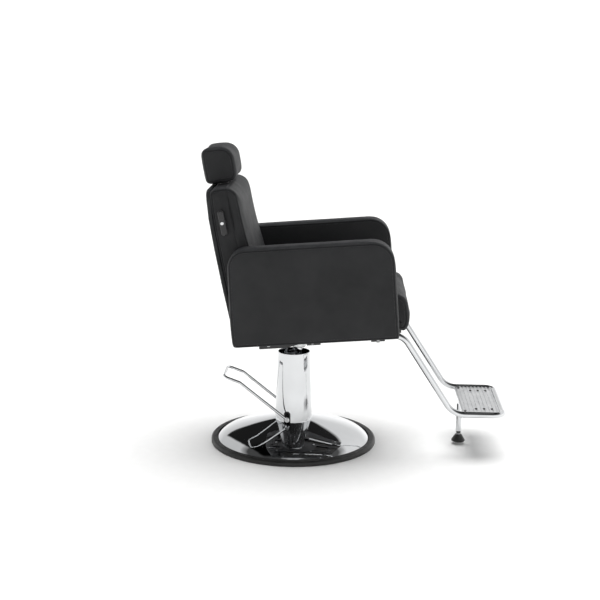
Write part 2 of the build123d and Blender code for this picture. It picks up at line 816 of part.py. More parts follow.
def post_forward(up):
    """Forward place of the headrest posts' centre line at a height."""
    return POST_AT[0] + (POST_AT[1] - up) * tan(radians(POST_LEAN))


def post_plane(up):
    """Plane across the headrest posts at a height."""
    a = radians(SEAT_TILT + POST_LEAN)
    return Plane(origin=seat_to_row(post_forward(up), up), x_dir=(1, 0, 0), z_dir=(0, sin(a), cos(a)))


def lever_outline(grow=0.0):
    """Recline lever seen from the side, pointing back and down from the pivot."""
    tip = (PIVOT[0] - LEVER_REACH * sin(radians(LEVER_ANGLE)), LEVER_PIN_UP)
    with BuildSketch(side_plane(0)) as outline:
        with Locations(PIVOT):
            Circle(22 + grow)
        with Locations(tip):
            Circle(11 + grow)
        make_hull()
    return outline.sketch


def back_cushion():
    """Back pad, round at its lower end about the hinge, hollowed from behind for the frame."""
    inner = shifted(REAR_EDGE, PANEL_THICKNESS + 0.3)
    rear_top = (REAR_EDGE[-1][0], REAR_EDGE[-1][1] + 0.3)
    hollow = ((-100, 518), (-112.5, 530), (-149.5, 946), (-240, 946), (-240, 546), (-172, 546),
              (-112, 494))
    bottom = (PIVOT[0], PIVOT[1] - BACK_END_R)
    rear_low = (PIVOT[0] - BACK_END_R, PIVOT[1])
    with BuildPart() as pad:
        with BuildSketch(side_plane(BACK_HALF_WIDTH)):
            with BuildLine():
                Spline(*inner)
                Line(inner[-1], (inner[-1][0], rear_top[1]))
                Line((inner[-1][0], rear_top[1]), rear_top)
                Spline(rear_top, (-206, 968), (-181, 975), (-126, 979), FRONT_EDGE[0],
                       tangents=((0, 1), (0.1, -1)))
                Spline(*FRONT_EDGE, tangents=((0.1, -1), (0, -1)))
                ThreePointArc(FRONT_EDGE[-1], bottom, rear_low)
                Polyline(rear_low, (rear_low[0], inner[0][1] - 0.3), (inner[0][0], inner[0][1] - 0.3),
                         inner[0])
            make_face()
        extrude(amount=2 * BACK_HALF_WIDTH)
        extrude(back_front_view(), amount=800, mode=Mode.INTERSECT)
        with BuildSketch(side_plane(190)):
            with BuildLine():
                Polyline(*hollow, close=True)
            make_face()
        extrude(amount=380, mode=Mode.SUBTRACT)
        with BuildSketch(side_plane(BACK_HALF_WIDTH + 1)):
            with Locations(PIVOT):
                Circle(TUBE_R + 0.3)
        extrude(amount=2 * BACK_HALF_WIDTH + 2, mode=Mode.SUBTRACT)
        extrude(lever_outline(1.0), amount=4, both=True, mode=Mode.SUBTRACT)
        with BuildSketch(post_plane(930)):
            with Locations((POST_X, 0), (-POST_X, 0)):
                Circle(9.3)
        extrude(amount=80, mode=Mode.SUBTRACT)
        with BuildSketch(side_plane(-180)):
            with Locations(HANDLE_AT):
                Circle(10.2)
        extrude(amount=60, mode=Mode.SUBTRACT)
    keep(pad, "back_cushion")


def back_board():
    """Plywood that backs the pad, at the front of the hollow."""
    with BuildPart() as board:
        with BuildSketch(side_plane(188)):
            with BuildLine():
                Polyline((-114, 532), (-149.8, 944), (-158.3, 944), (-123, 532), close=True)
            make_face()
        extrude(amount=376)
    keep(board, "back_board")


def back_frame():
    """Welded frame: hinge tube across the bottom, two uprights and two cross members."""
    upright = (PIVOT, (-153, 550), (-182, 763), (-195, 935))
    with BuildPart() as frame:
        with BuildSketch(side_plane(222)):
            with Locations(PIVOT):
                Circle(TUBE_R)
        extrude(amount=444)
        for x in (182.5, -157.5):
            with BuildSketch(side_plane(x)):
                with BuildLine():
                    Polyline(*upright)
                trace(line_width=16)
            extrude(amount=25)
        with BuildSketch(side_plane(160)):
            with Locations((-186, 920)):
                Rectangle(20, 30)
            with Locations((-179.5, 830)):
                Rectangle(22, 30)
        extrude(amount=320)
        with BuildSketch(post_plane(800)):
            with Locations((POST_X, 0), (-POST_X, 0)):
                Circle(9.1)
        extrude(amount=200, mode=Mode.SUBTRACT)
        with BuildSketch(side_plane(223)):
            with Locations(PIVOT):
                Circle(TUBE_R - 3)
        extrude(amount=446, mode=Mode.SUBTRACT)
    keep(frame, "back_frame")


def hinge_bushes():
    """Bushes in the ends of the hinge tube."""
    with BuildPart() as bushes:
        for x in (222, -192):
            with BuildSketch(side_plane(x)):
                with Locations(PIVOT):
                    Circle(TUBE_R - 3)
                    Circle(PIN_R + RUN, mode=Mode.SUBTRACT)
            extrude(amount=30)
    keep(bushes, "hinge_bushes")


def recline_lever():
    """Plate welded on the hinge tube; its slot drives the lock rod's pin."""
    a = radians(LEVER_ANGLE)
    low, high = LEVER_REACH * cos(a) - 1.0, LEVER_REACH + 1.0
    with BuildPart() as lever:
        extrude(lever_outline(), amount=3, both=True)
        with BuildSketch(side_plane(4)):
            for reach in (low, high):
                with Locations((PIVOT[0] - reach * sin(a), PIVOT[1] - reach * cos(a))):
                    Circle(4.7)
            make_hull()
        extrude(amount=8, mode=Mode.SUBTRACT)
        with BuildSketch(side_plane(4)):
            with Locations(PIVOT):
                Circle(TUBE_R)
        extrude(amount=8, mode=Mode.SUBTRACT)
    keep(lever, "recline_lever")


def headrest_sleeves():
    """Tubes welded to the frame in which the headrest posts slide."""
    with BuildPart() as sleeves:
        with BuildSketch(post_plane(800)):
            with Locations((POST_X, 0), (-POST_X, 0)):
                Circle(9)
                Circle(POST_R + RUN, mode=Mode.SUBTRACT)
        extrude(amount=178)
    keep(sleeves, "headrest_sleeves")


def handle_bush():
    """Flanged bush for the recline handle's shaft in the side of the back."""
    with BuildPart() as bush:
        with BuildSketch(side_plane(-186)):
            with Locations(HANDLE_AT):
                Circle(10)
        extrude(amount=38)
        with BuildSketch(side_plane(-BACK_HALF_WIDTH)):
            with Locations(HANDLE_AT):
                Circle(15)
        extrude(amount=3)
        with BuildSketch(side_plane(-180)):
            with Locations(HANDLE_AT):
                Circle(5 + RUN)
        extrude(amount=60, mode=Mode.SUBTRACT)
    keep(bush, "handle_bush")


# ---------------------------------------------------------------- recline handle


def handle_shaft():
    """Shaft from the handle to the release cam inside the back."""
    with BuildPart() as shaft:
        with BuildSketch(side_plane(-176)):
            with Locations(HANDLE_AT):
                Circle(5)
        extrude(amount=66)
        with BuildSketch(side_plane(-176)):
            with Locations(HANDLE_AT):
                Circle(8)
            with Locations((HANDLE_AT[0], HANDLE_AT[1] - 14)):
                Circle(4)
            make_hull()
        extrude(amount=8)
    keep(shaft, "handle_shaft")


def recline_handle():
    """Two-lobed hand lever that lies along the side of the back."""
    lean = radians(7)
    half = 34.0
    with BuildPart() as handle:
        with BuildSketch(side_plane(-230)):
            with Locations(HANDLE_AT):
                Circle(12)
        extrude(amount=8)
        with BuildSketch(side_plane(-237)):
            for reach, r in ((half, 10.0), (-half, 10.0)):
                with Locations((HANDLE_AT[0] - reach * sin(lean), HANDLE_AT[1] + reach * cos(lean))):
                    Circle(r)
            make_hull()
        extrude(amount=17)
        fillet(handle.faces().sort_by(Axis.X)[0].edges(), 5)
        with BuildSketch(side_plane(-228)):
            with Locations(HANDLE_AT):
                Circle(5)
        extrude(amount=14.2, mode=Mode.SUBTRACT)
    keep(handle, "recline_handle")


def handle_screw():
    """Bright screw cap in the middle of the handle."""
    with BuildPart() as screw:
        with BuildSketch(side_plane(-254)):
            with Locations(HANDLE_AT):
                Circle(6)
        extrude(amount=3)
        fillet(screw.faces().sort_by(Axis.X)[0].edges(), 1.5)
    keep(screw, "handle_screw")


# ---------------------------------------------------------------- headrest


def headrest_pad():
    """Small pad above the back with a pocket for its core."""
    outline = ((-227, 982), (-119, 987), (-129, 1112), (-238, 1104))
    with BuildPart() as pad:
        with BuildSketch(side_plane(HEADREST_HALF_WIDTH)):
            with BuildLine():
                FilletPolyline(*outline, radius=(20, 24, 32, 22), close=True)
            make_face()
        extrude(amount=2 * HEADREST_HALF_WIDTH)
        with BuildSketch(front_plane(at=(-400.0, 0.0))) as view:
            with Locations((0, 1047)):
                RectangleRounded(2 * HEADREST_HALF_WIDTH, 130, 26)
        extrude(amount=400, mode=Mode.INTERSECT)
        with BuildSketch(post_plane(970)):
            Rectangle(HEADREST_CORE_WIDTH + 0.4, 22.4)
        extrude(amount=115, mode=Mode.SUBTRACT)
    keep(pad, "headrest_pad")


def headrest_core():
    """Wooden core of the pad, bored for the posts."""
    with BuildPart() as core:
        with BuildSketch(post_plane(990)):
            Rectangle(HEADREST_CORE_WIDTH, 22)
        extrude(amount=94)
        with BuildSketch(post_plane(970)):
            with Locations((POST_X, 0), (-POST_X, 0)):
                Circle(POST_R)
        extrude(amount=85, mode=Mode.SUBTRACT)
    keep(core, "headrest_core")


def headrest_posts():
    """Two chrome posts that slide in the back's sleeves."""
    with BuildPart() as posts:
        with BuildSketch(post_plane(815)):
            with Locations((POST_X, 0), (-POST_X, 0)):
                Circle(POST_R)
        extrude(amount=239)
    keep(posts, "headrest_posts")


# ---------------------------------------------------------------- footrest


def footrest_tube():
    """Chrome tube bent down from under each arm and joined across the front."""
    low = FOOT_LOW_BEND[1]
    x = FOOT_TUBE_X
    half = [
        seat_to_row(FOOT_TUBE_REAR, FOOT_TUBE_UP)[1:],
        seat_to_row(FOOT_BEND, FOOT_TUBE_UP)[1:],
        (-FOOT_LOW_BEND[0], low),
        (-FOOT_FRONT, low),
    ]
    points = [(x, *p) for p in half] + [(-x, *p) for p in reversed(half)]
    with BuildPart() as tube:
        with BuildLine() as path:
            FilletPolyline(*points, radius=(60, 75, FOOT_CORNER_R, FOOT_CORNER_R, 75, 60))
        with BuildSketch(Plane(origin=path.line @ 0, z_dir=path.line % 0)):
            Circle(FOOT_TUBE_R)
            Circle(FOOT_TUBE_R - 1.5, mode=Mode.SUBTRACT)
        sweep(path=path.line)
    keep(tube, "footrest_tube")


PLATE_EDGE_X = FOOT_TUBE_X - FOOT_TUBE_R
TREAD_REAR, TREAD_FRONT = LEG_FORWARD + 2.0, FOOT_FRONT - FOOT_TUBE_R
RIB_PITCH = 14.0
RIVETS = [(side * x, -forward) for side in (1, -1)
          for forward, x in ((616.0, 147.0), (657.0, 117.0), (685.0, 117.0), (713.0, 117.0))]
RIVET_R = 2.5
RIVET_HEAD_R = 5.0


def footrest_plate():
    """Ribbed plate between the tubes with a rolled rear edge."""
    low = FOOT_LOW_BEND[1]
    length = TREAD_FRONT - TREAD_REAR
    with BuildPart() as plate:
        with BuildSketch(level_side_plane(PLATE_EDGE_X)):
            with Locations(((TREAD_REAR + TREAD_FRONT) / 2, low + 2)):
                Rectangle(length, 4)
            with Locations((TREAD_REAR, low - 4)):
                Circle(8)
                Circle(5, mode=Mode.SUBTRACT)
            for i in range(int(length / RIB_PITCH)):
                with Locations((TREAD_REAR + 12 + i * RIB_PITCH, low + 4.5)):
                    Rectangle(7, 3)
        extrude(amount=2 * PLATE_EDGE_X)
        with BuildSketch(Plane.XY.offset(low - 20)) as footprint:
            with Locations((0, -(TREAD_REAR - 10 + TREAD_FRONT) / 2)):
                Rectangle(2 * PLATE_EDGE_X, length + 10)
            fillet(footprint.vertices().group_by(Axis.Y)[0], FOOT_CORNER_R - FOOT_TUBE_R + 3)
        extrude(amount=60, mode=Mode.INTERSECT)
        with BuildSketch(Plane.XY.offset(low)):
            with Locations(*RIVETS):
                Circle(RIVET_R + RUN)
        extrude(amount=4, mode=Mode.SUBTRACT)
        with BuildSketch(Plane.XY.offset(low + 4)):
            with Locations(*RIVETS):
                Circle(RIVET_HEAD_R + 0.4)
        extrude(amount=4, mode=Mode.SUBTRACT)
    keep(plate, "footrest_plate")


def footrest_fasteners():
    """Dark rivets of the ribbed plate, four on each side, and the lock nut under the leg."""
    top = FOOT_LOW_BEND[1] + 4
    with BuildPart() as fasteners:
        with BuildSketch(Plane.XY.offset(top)):
            with Locations(*RIVETS):
                Circle(RIVET_HEAD_R)
        extrude(amount=2.6)
        fillet(fasteners.faces().group_by(Axis.Z)[-1].edges(), 1.4)
        with BuildSketch(Plane.XY.offset(top)):
            with Locations(*RIVETS):
                Circle(RIVET_R)
        extrude(amount=-3.8)
        with BuildSketch(Plane.XY.offset(LEG_BOTTOM - 8)):
            with Locations((0, -LEG_FORWARD)):
                RegularPolygon(9, 6)
                Circle(5 + RUN, mode=Mode.SUBTRACT)
        extrude(amount=8)
    keep(fasteners, "footrest_fasteners")


def footrest_leg():
    """Single leg under the plate's rear edge, bored for the levelling screw."""
    top = FOOT_LOW_BEND[1] - 12.3
    with BuildPart() as leg:
        with BuildSketch(Plane.XY.offset(LEG_BOTTOM)):
            with Locations((0, -LEG_FORWARD)):
                Circle(10)
        extrude(amount=top - LEG_BOTTOM)
        with BuildSketch(Plane.XY.offset(LEG_BOTTOM)):
            with Locations((0, -LEG_FORWARD)):
                Circle(5 + RUN)
        extrude(amount=45, mode=Mode.SUBTRACT)
    keep(leg, "footrest_leg")


def leveller_stem():
    """Screw of the levelling foot."""
    with BuildPart() as stem:
        with BuildSketch(Plane.XY.offset(FLOOR_GAP + 14)):
            with Locations((0, -LEG_FORWARD)):
                Circle(5)
        extrude(amount=56)
    keep(stem, "leveller_stem")


def leveller_foot():
    """Conical rubber foot moulded round the screw's end."""
    top = FLOOR_GAP + 25
    with BuildPart() as foot:
        with BuildSketch(level_side_plane(0)):
            with BuildLine():
                Polyline((LEG_FORWARD, FLOOR_GAP), (LEG_FORWARD + 23, FLOOR_GAP),
                         (LEG_FORWARD + 24.5, FLOOR_GAP + 2), (LEG_FORWARD + 24.5, FLOOR_GAP + 6),
                         (LEG_FORWARD + 12, top), (LEG_FORWARD, top), close=True)
            make_face()
        revolve(axis=Axis((0, -LEG_FORWARD, 0), (0, 0, 1)))
        with BuildSketch(Plane.XY.offset(FLOOR_GAP + 14)):
            with Locations((0, -LEG_FORWARD)):
                Circle(5)
        extrude(amount=40, mode=Mode.SUBTRACT)
    keep(foot, "leveller_foot")


def footrest_clamps():
    """Blocks under the cross bars in which the footrest's tubes slide and are clamped."""
    with BuildPart() as clamps:
        for rear, front in CROSS_BARS[1:]:
            with BuildSketch(front_plane(at=(rear, FOOT_TUBE_UP))):
                with Locations((FOOT_TUBE_X, -1), (-FOOT_TUBE_X, -1)):
                    Rectangle(34, 2 * (RAIL_TOP - FOOT_TUBE_UP) + 2)
                with Locations((FOOT_TUBE_X, 0), (-FOOT_TUBE_X, 0)):
                    Circle(FOOT_TUBE_R + RUN, mode=Mode.SUBTRACT)
            extrude(amount=front - rear)
        rear, front = CROSS_BARS[2]
        with BuildSketch(seat_plane(FOOT_TUBE_UP - 30)):
            with Locations((FOOT_TUBE_X, -(rear + front) / 2), (-FOOT_TUBE_X, -(rear + front) / 2)):
                Circle(4)
        extrude(amount=30 - FOOT_TUBE_R - 1, mode=Mode.SUBTRACT)
    keep(clamps, "footrest_clamps")


def clamp_bolts():
    """Bright bolts that nip the tubes in the front clamps."""
    rear, front = CROSS_BARS[2]
    spots = Locations((FOOT_TUBE_X, -(rear + front) / 2), (-FOOT_TUBE_X, -(rear + front) / 2))
    with BuildPart() as bolts:
        with BuildSketch(seat_plane(FOOT_TUBE_UP - FOOT_TUBE_R - 12)):
            with spots:
                RegularPolygon(6.5, 6)
        extrude(amount=6)
        with BuildSketch(seat_plane(FOOT_TUBE_UP - FOOT_TUBE_R - 7)):
            with spots:
                Circle(3.9)
        extrude(amount=6)
    keep(bolts, "clamp_bolts")


def build_all():
    """Make and write every piece."""
    os.makedirs("parts", exist_ok=True)
    for piece in (base_rim, base_plate, base_dome, column_shroud, slot_edging, pump_block,
                  pump_bolts, pump_cylinder, oil_reservoir, pump_gland, ram_wiper, shaft_bushes,
                  pump_plunger, plunger_spring, pedal_loop, pedal_shaft, pedal_bolts, pump_rocker,
                  ram, ram_piston, piston_seal, swivel_socket, swivel_bearing, seat_mount_plate,
                  seat_rails, cross_bars, seat_board, seat_cushion, frame_bolts, lock_cylinder,
                  cylinder_saddles, lock_rod, back_panel, back_cushion, back_board, back_frame,
                  hinge_bushes, recline_lever, headrest_sleeves, handle_bush, handle_shaft,
                  recline_handle, handle_screw, headrest_pad, headrest_core, headrest_posts,
                  footrest_tube, footrest_plate, footrest_fasteners, footrest_leg,
                  leveller_stem, leveller_foot, footrest_clamps, clamp_bolts):
        piece()
    for side, word in ((1, "left"), (-1, "right")):
        arm_pad(side, f"arm_pad_{word}")
        arm_core(side, f"arm_core_{word}")
        hinge_plate(side, f"hinge_plate_{word}")


build_all()
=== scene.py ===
import json
from math import atan2, cos, pi, radians, sin, sqrt, tan

import bmesh
import bpy
import numpy as np
from mathutils import Matrix, Vector, kdtree, noise

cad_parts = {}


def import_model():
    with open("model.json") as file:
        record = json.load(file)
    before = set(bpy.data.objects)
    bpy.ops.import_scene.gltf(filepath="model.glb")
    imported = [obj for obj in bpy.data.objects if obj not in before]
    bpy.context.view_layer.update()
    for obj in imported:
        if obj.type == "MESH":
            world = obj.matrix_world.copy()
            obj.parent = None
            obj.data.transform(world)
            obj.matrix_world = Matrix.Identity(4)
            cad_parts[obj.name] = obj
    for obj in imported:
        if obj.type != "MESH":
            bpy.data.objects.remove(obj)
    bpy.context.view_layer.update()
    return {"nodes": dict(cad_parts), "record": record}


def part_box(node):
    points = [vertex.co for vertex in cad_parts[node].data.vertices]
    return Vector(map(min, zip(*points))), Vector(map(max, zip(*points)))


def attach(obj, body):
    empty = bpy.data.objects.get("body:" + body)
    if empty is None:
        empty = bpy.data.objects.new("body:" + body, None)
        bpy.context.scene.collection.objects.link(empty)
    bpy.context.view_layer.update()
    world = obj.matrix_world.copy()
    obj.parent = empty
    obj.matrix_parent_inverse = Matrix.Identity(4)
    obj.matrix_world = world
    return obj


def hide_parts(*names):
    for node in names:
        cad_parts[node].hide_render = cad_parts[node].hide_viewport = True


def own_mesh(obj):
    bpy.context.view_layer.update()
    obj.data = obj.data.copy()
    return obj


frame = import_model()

NODES = frame["nodes"]

# Lengths are metres.  "Forward" and "up" are measured along and square to the seat,
# which leans back by SEAT_TILT about the origin's X axis; the chair faces -Y.
SEAT_TILT = radians(4.53)


def seat_point(forward, up, x=0.0):
    """Point of the frame given in seat coordinates."""
    return Vector((x, -forward * cos(SEAT_TILT) + up * sin(SEAT_TILT),
                   forward * sin(SEAT_TILT) + up * cos(SEAT_TILT)))


# ---------------------------------------------------------------- materials


def add(tree, kind, inputs=None, **settings):
    """New shader node with its settings and inputs; an input may be a value or a socket."""
    node = tree.nodes.new(kind)
    for key, value in settings.items():
        setattr(node, key, value)
    for key, value in (inputs or {}).items():
        if isinstance(value, bpy.types.NodeSocket):
            tree.links.new(value, node.inputs[key])
        else:
            node.inputs[key].default_value = value
    return node


def place(tree, stretch=(1, 1, 1)):
    """Object coordinates, stretched along the axes."""
    coords = add(tree, "ShaderNodeTexCoord").outputs["Object"]
    return add(tree, "ShaderNodeMapping", {"Vector": coords, "Scale": stretch}).outputs["Vector"]


def speckle(tree, scale, low, high, detail=3.0, stretch=(1, 1, 1)):
    """Noise spread over the range from low to high."""
    grain = add(tree, "ShaderNodeTexNoise",
                {"Vector": place(tree, stretch), "Scale": scale, "Detail": detail})
    spread = add(tree, "ShaderNodeMapRange",
                 {"Value": grain.outputs["Fac"], "From Min": 0.3, "From Max": 0.7,
                  "To Min": low, "To Max": high})
    return spread.outputs["Result"]


def tint(tree, dark, light, factor):
    """Colour between two colours."""
    mix = add(tree, "ShaderNodeMix", {"Factor": factor}, data_type="RGBA")
    mix.inputs[6].default_value = (*dark, 1)
    mix.inputs[7].default_value = (*light, 1)
    return mix.outputs[2]


def raise_by(tree, height, distance, strength=1.0, under=None):
    """Bump normal from a height."""
    inputs = {"Height": height, "Distance": distance, "Strength": strength}
    if under is not None:
        inputs["Normal"] = under
    return add(tree, "ShaderNodeBump", inputs).outputs["Normal"]


def finish_as(name, build, **sockets):
    """Material whose constant sockets are given here and whose textures come from build."""
    material = bpy.data.materials.new(name)
    material.use_nodes = True
    tree = material.node_tree
    shader = tree.nodes["Principled BSDF"]
    for key, value in sockets.items():
        shader.inputs[key.replace("_", " ")].default_value = value
    for key, socket in build(tree).items():
        tree.links.new(socket, shader.inputs[key])
    return material


def vinyl_nodes(dark, light, worn_and_lit):
    """Pebbled vinyl: small cells, soft undulation, and a lighter colour on rounded edges, for scuffing and
    as a painted highlight.
    """
    def build(tree):
        cells = add(tree, "ShaderNodeTexVoronoi", {"Vector": place(tree), "Scale": 620.0},
                    feature="DISTANCE_TO_EDGE")
        pebble = add(tree, "ShaderNodeMapRange",
                     {"Value": cells.outputs["Distance"], "From Min": 0.0, "From Max": 0.35})
        grain = raise_by(tree, pebble.outputs["Result"], 0.00022, 0.5)
        normal = raise_by(tree, speckle(tree, 55.0, 0.0, 1.0), 0.0009, 0.22, grain)
        # Lighter colour on the rounded edges, in patches: partly scuffing, partly a painted highlight.
        edge_wear_and_light = add(tree, "ShaderNodeAttribute", attribute_name="wear_and_highlight").outputs["Fac"]
        patch = speckle(tree, 26.0, 0.25, 1.0)
        wear_and_light_share = add(tree, "ShaderNodeMath", {0: edge_wear_and_light, 1: patch}, operation="MULTIPLY")
        base = tint(tree, dark, light, speckle(tree, 7.0, 0.0, 1.0))
        mix = add(tree, "ShaderNodeMix", {"Factor": wear_and_light_share.outputs[0]}, data_type="RGBA")
        tree.links.new(base, mix.inputs[6])
        mix.inputs[7].default_value = (*worn_and_lit, 1)
        return {"Base Color": mix.outputs[2], "Normal": normal,
                "Roughness": speckle(tree, 18.0, 0.57, 0.67)}
    return build


def metal_nodes(dark, light, rough, smear=14.0, ripple=0.0, stretch=(1, 1, 1), brush=0.0):
    """Plated or bare metal: cloudy gloss, slight ripple or brushed lines."""
    def build(tree):
        out = {"Base Color": tint(tree, dark, light, speckle(tree, smear, 0.0, 1.0)),
               "Roughness": speckle(tree, smear * 2.3, rough[0], rough[1], 5.0)}
        if ripple:
            out["Normal"] = raise_by(tree, speckle(tree, 9.0, 0.0, 1.0, 1.0), ripple, 0.4)
        if brush:
            lines = speckle(tree, 160.0, 0.0, 1.0, 4.0, stretch)
            out["Normal"] = raise_by(tree, lines, brush, 0.5)
        return out
    return build


def painted_nodes(dark, light, grain=420.0, depth=0.00012, rough=(0.38, 0.55)):
    """Sprayed paint, rubber or moulded plastic with a fine grain."""
    def build(tree):
        return {"Base Color": tint(tree, dark, light, speckle(tree, 30.0, 0.0, 1.0)),
                "Roughness": speckle(tree, 45.0, *rough),
                "Normal": raise_by(tree, speckle(tree, grain, 0.0, 1.0), depth, 0.5)}
    return build


def cast_nodes(tree):
    """Rough cast iron under thin grey paint."""
    return {"Base Color": tint(tree, (0.10, 0.10, 0.11), (0.21, 0.21, 0.22), speckle(tree, 60, 0, 1)),
            "Roughness": speckle(tree, 90.0, 0.5, 0.75),
            "Normal": raise_by(tree, speckle(tree, 240.0, 0.0, 1.0, 6.0), 0.0006, 0.6)}


def timber_nodes(dark, light):
    """Plywood: long wavy grain with pores."""
    def build(tree):
        wave = add(tree, "ShaderNodeTexWave",
                   {"Vector": place(tree, (1.0, 0.12, 1.0)), "Scale": 28.0, "Distortion": 5.0,
                    "Detail": 3.0, "Detail Scale": 2.0})
        return {"Base Color": tint(tree, dark, light, wave.outputs["Fac"]),
                "Roughness": speckle(tree, 60.0, 0.5, 0.7),
                "Normal": raise_by(tree, speckle(tree, 300.0, 0, 1, 4.0, (1, 0.08, 1)), 0.0002, 0.5)}
    return build


CHROME_DARK, CHROME_LIGHT = (0.62, 0.63, 0.64), (0.70, 0.71, 0.72)

# The third colour is the lighter rounded-edge colour: partly scuffing, partly a painted highlight.
VINYL = finish_as("vinyl_black", vinyl_nodes((0.013, 0.0135, 0.0145), (0.018, 0.0185, 0.020),
                                             (0.034, 0.035, 0.037)), Specular_IOR_Level=0.32)
THREAD = finish_as("thread_black", painted_nodes((0.02, 0.02, 0.022), (0.05, 0.05, 0.055), 900.0,
                                                 0.0002, (0.45, 0.6)), Sheen_Weight=0.15)
CHROME = finish_as("chrome_mirror", metal_nodes(CHROME_DARK, CHROME_LIGHT, (0.025, 0.07)),
                   Metallic=1.0)
SPUN_CHROME = finish_as("chrome_spun", metal_nodes(CHROME_DARK, CHROME_LIGHT, (0.02, 0.055), 6.0,
                                                   0.0010), Metallic=1.0)
RUBBER = finish_as("rubber_black", painted_nodes((0.010, 0.010, 0.010), (0.020, 0.020, 0.019),
                                                 500.0, 0.0002, (0.36, 0.50)),
                   Specular_IOR_Level=0.45)
PAINT = finish_as("paint_black", painted_nodes((0.016, 0.016, 0.017), (0.028, 0.028, 0.030)))
PLASTIC = finish_as("plastic_black", painted_nodes((0.014, 0.014, 0.015), (0.022, 0.022, 0.023),
                                                   700.0, 0.00008, (0.30, 0.42)))
CAST = finish_as("cast_grey", cast_nodes)
STEEL = finish_as("steel_turned", metal_nodes((0.42, 0.43, 0.45), (0.60, 0.61, 0.63), (0.22, 0.36),
                                              20.0, 0.0, (1, 1, 9), 0.00006), Metallic=1.0)
ZINC = finish_as("zinc_plate", metal_nodes((0.50, 0.51, 0.52), (0.68, 0.69, 0.68), (0.24, 0.40),
                                           60.0), Metallic=1.0)
BRONZE = finish_as("bronze_turned", metal_nodes((0.42, 0.26, 0.10), (0.60, 0.41, 0.18),
                                                (0.25, 0.40), 40.0), Metallic=1.0)
TREAD = finish_as("aluminium_tread", metal_nodes((0.84, 0.85, 0.86), (0.93, 0.94, 0.95),
                                                 (0.30, 0.42), 25.0, 0.0, (0.05, 1, 1), 0.00005),
                  Metallic=0.88)
TIMBER = finish_as("plywood_raw", timber_nodes((0.40, 0.27, 0.15), (0.62, 0.47, 0.30)))
STAINED = finish_as("plywood_stained", timber_nodes((0.014, 0.013, 0.012), (0.030, 0.028, 0.026)))

BY_SLOT = {"rubber_black": RUBBER, "chrome": CHROME, "black_steel": PAINT, "grey_iron": CAST,
           "plain_steel": STEEL, "zinc_bolts": ZINC, "bronze": BRONZE, "plywood": TIMBER,
           "black_vinyl": VINYL, "black_plastic": PLASTIC, "ribbed_aluminium": TREAD}
BY_NODE = {"base_dome": SPUN_CHROME, "column_shroud": SPUN_CHROME, "seat_board": STAINED,
           "arm_core_left": STAINED, "arm_core_right": STAINED, "swivel_socket": ZINC}
for part in frame["record"]["subparts"]:
    shown = BY_NODE.get(part["node"], BY_SLOT[part["material_slot"]])
    for material_slot in NODES[part["node"]].material_slots:
        material_slot.material = shown


# ---------------------------------------------------------------- padded forms


def outline_sides(corners, inset):
    """Rounded closed outline moved inwards, as four sides between its marked corners.

    A corner is (a, b, radius, marked); a radius of None rounds it as far as its sides allow.
    """
    count = len(corners)
    points = [Vector(c[:2]) for c in corners]
    ring, marks = [], []
    for i, (point, corner) in enumerate(zip(points, corners)):
        into, out_of = point - points[i - 1], points[(i + 1) % count] - point
        e1, e2 = into.normalized(), out_of.normalized()
        n1, n2 = Vector((-e1.y, e1.x)), Vector((-e2.y, e2.x))
        turn = atan2(e1.x * e2.y - e1.y * e2.x, e1.dot(e2))
        moved = point + (n1 + n2) * (inset / (1 + n1.dot(n2)))
        radius = corner[2]
        if radius is None:
            radius = 0.42 * min(into.length, out_of.length) / max(tan(abs(turn) / 2), 1e-4)
        radius = max(radius - inset, 0.0025) if turn > 0 else radius + inset
        bend = 1 if turn > 0 else -1
        reach = radius * tan(abs(turn) / 2)
        centre = moved - e1 * reach + n1 * radius * bend
        arm = moved - e1 * reach - centre
        steps = 12
        for k in range(steps + 1):
            if corner[3] and k == steps // 2:
                marks.append(len(ring))
            angle = turn * k / steps
            ring.append(centre + Vector((arm.x * cos(angle) - arm.y * sin(angle),
                                         arm.x * sin(angle) + arm.y * cos(angle))))
    sides = []
    for k, start in enumerate(marks):
        end = marks[(k + 1) % 4] + (len(ring) if k == 3 else 0)
        sides.append([ring[j % len(ring)] for j in range(start, end + 1)])
    return sides


def even_points(line, count):
    """The line divided into equal lengths, without its last point."""
    line = np.array([tuple(p) for p in line])
    runs = np.concatenate([[0], np.cumsum(np.linalg.norm(np.diff(line, axis=0), axis=1))])
    at = np.linspace(0, runs[-1], count, endpoint=False)
    return np.column_stack([np.interp(at, runs, line[:, k]) for k in (0, 1)])


STITCH_INSET = 0.0045  # from a seam to its row of stitches


def side_profile(width, seam, edge, groove, step):
    """(inset, depth) pairs from the panel on one face, over its seam, to the other face's."""
    run_in, run_round = edge
    half = [(seam + 0.022, 0.0), (seam + 0.015, 0.0), (seam + 0.009, 0.0),
            (seam + STITCH_INSET, -0.0002),
            (seam + 0.0022, 0.0003), (seam + 0.0009, groove * 0.55), (seam, groove),
            (seam - 0.0009, groove * 0.5)]
    for k in range(0, 6):
        t = k / 5 * pi / 2
        half.append((run_in * (1 - sin(t)), run_round * (1 - cos(t))))
    middle = width - 2 * run_round
    count = max(1, round(middle / step))
    flat = [(0.0, run_round + middle * k / count) for k in range(1, count)]
    return half, flat


